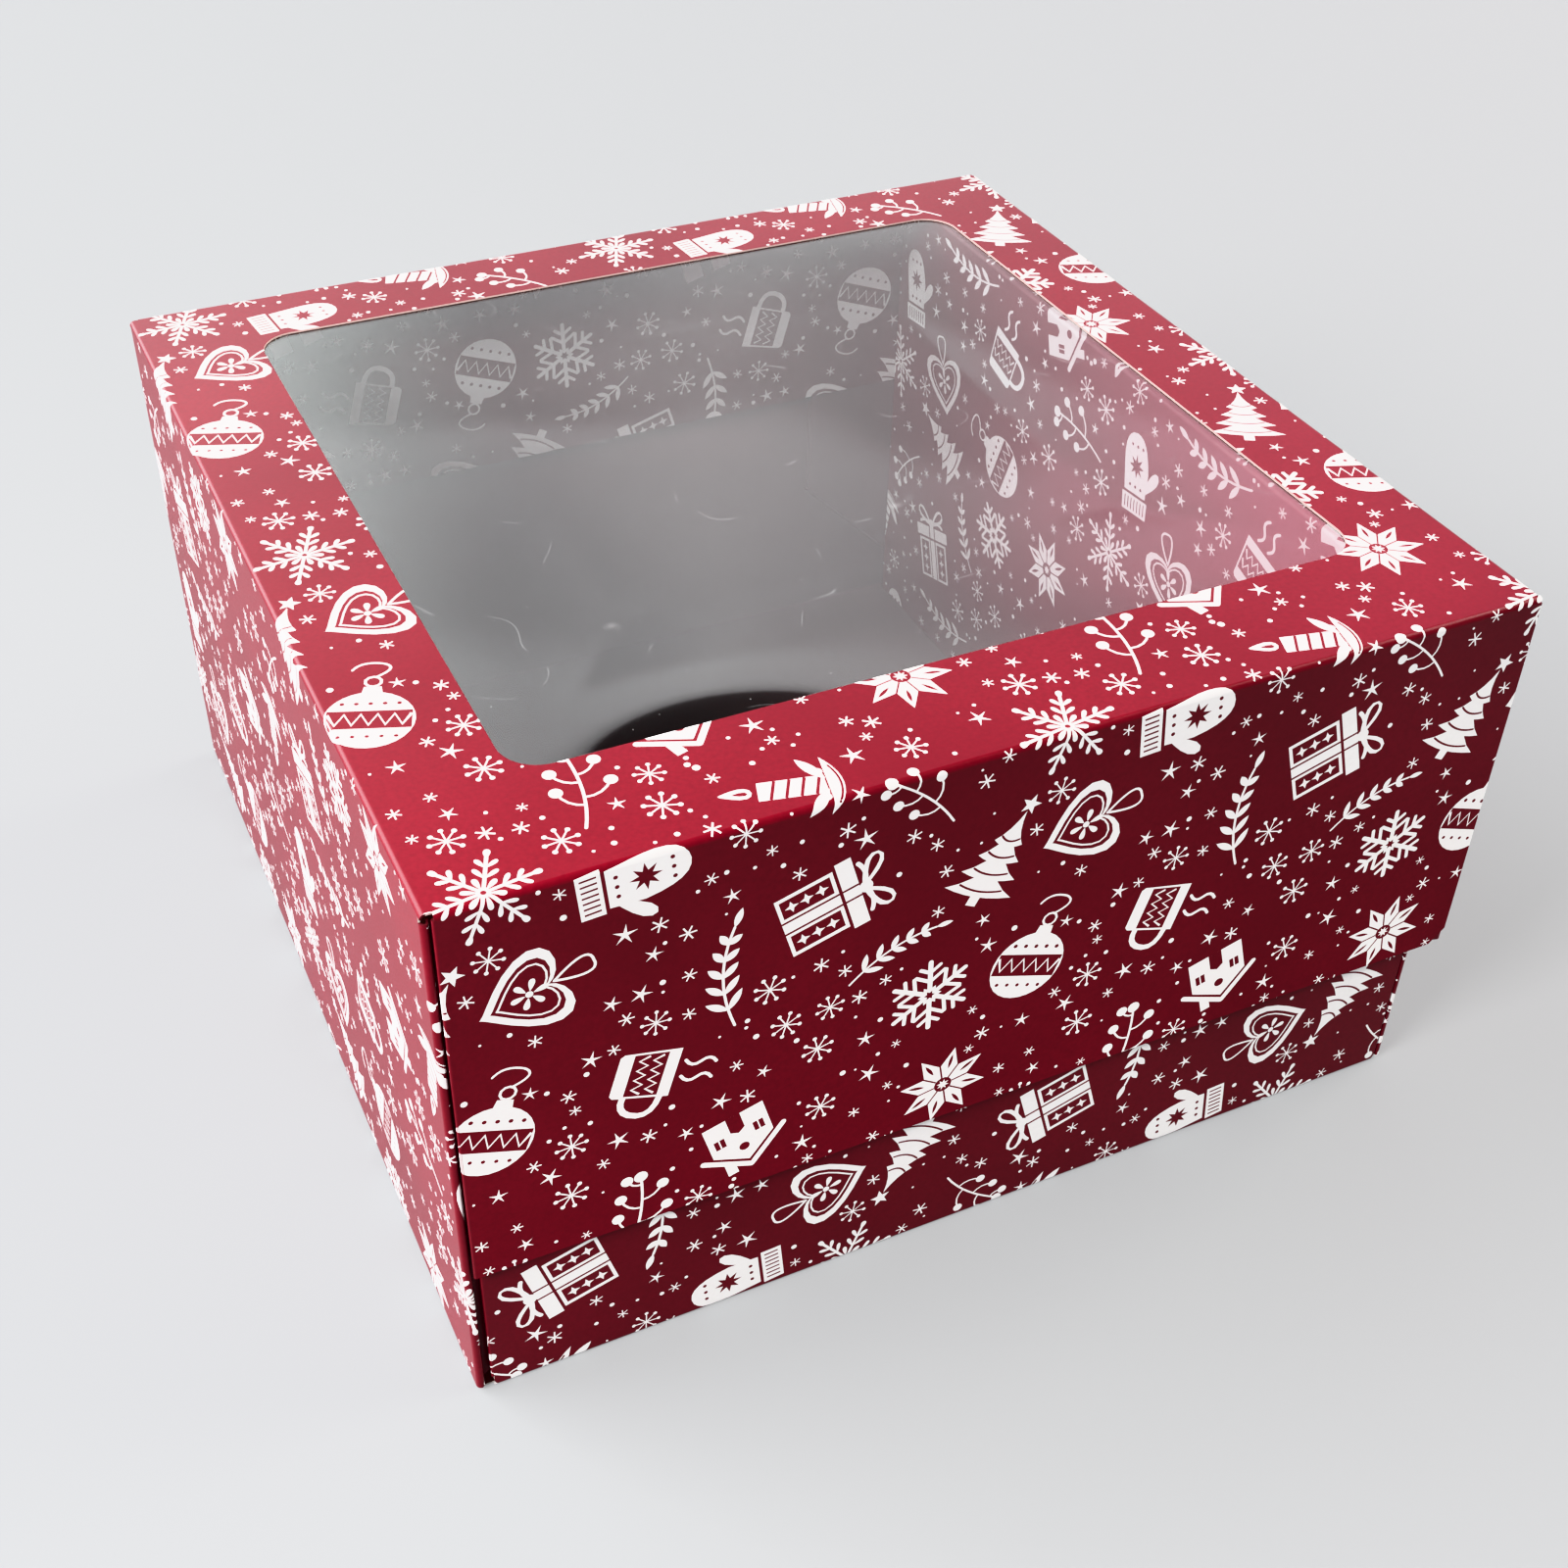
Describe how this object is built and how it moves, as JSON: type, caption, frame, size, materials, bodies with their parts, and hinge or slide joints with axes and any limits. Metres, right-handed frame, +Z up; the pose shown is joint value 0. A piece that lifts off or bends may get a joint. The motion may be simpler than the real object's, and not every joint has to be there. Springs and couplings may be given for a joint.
{
  "type": "hinged window sweet box",
  "caption": "Square folding-board sweet box: a tray with a hollow front wall and folded corner webs, and a hinged hood lid with a clear film window.",
  "frame": {"origin": "middle of the underside of the closed box", "axes": "+X from the hinge wall to the opening side, +Y across, +Z up"},
  "size_m": [0.254, 0.254, 0.1417],
  "materials": {
    "printed_board": "white-lined folding board, red print with white ornaments under a matt laminate",
    "clear_film": "clear polyester film, glossy, faintly rippled and scuffed"
  },
  "bodies": {
    "tray": {"tray_floor": "printed_board", "tray_rear_wall": "printed_board", "hinge_crease": "printed_board", "tray_left_wall": "printed_board", "tray_right_wall": "printed_board", "tray_left_lining": "printed_board", "tray_right_lining": "printed_board", "tray_front_wall": "printed_board", "tray_front_ledge": "printed_board", "tray_front_lining": "printed_board", "tray_front_foot": "printed_board", "tray_rear_left_web": "printed_board", "tray_rear_right_web": "printed_board", "tray_front_left_web": "printed_board", "tray_front_right_web": "printed_board"},
    "lid": {"lid_top_panel": "printed_board", "lid_front_flap": "printed_board", "lid_left_flap": "printed_board", "lid_right_flap": "printed_board", "lid_left_ear": "printed_board", "lid_right_ear": "printed_board", "lid_left_hem": "printed_board", "lid_right_hem": "printed_board", "window_film": "clear_film"}
  },
  "joints": [
    {"name": "lid_hinge", "type": "hinge", "parent": "tray", "child": "lid", "pos_m": [-0.127, 0, 0.1417], "axis": [0, -1, 0], "range_deg": [0, 210]}
  ]
}
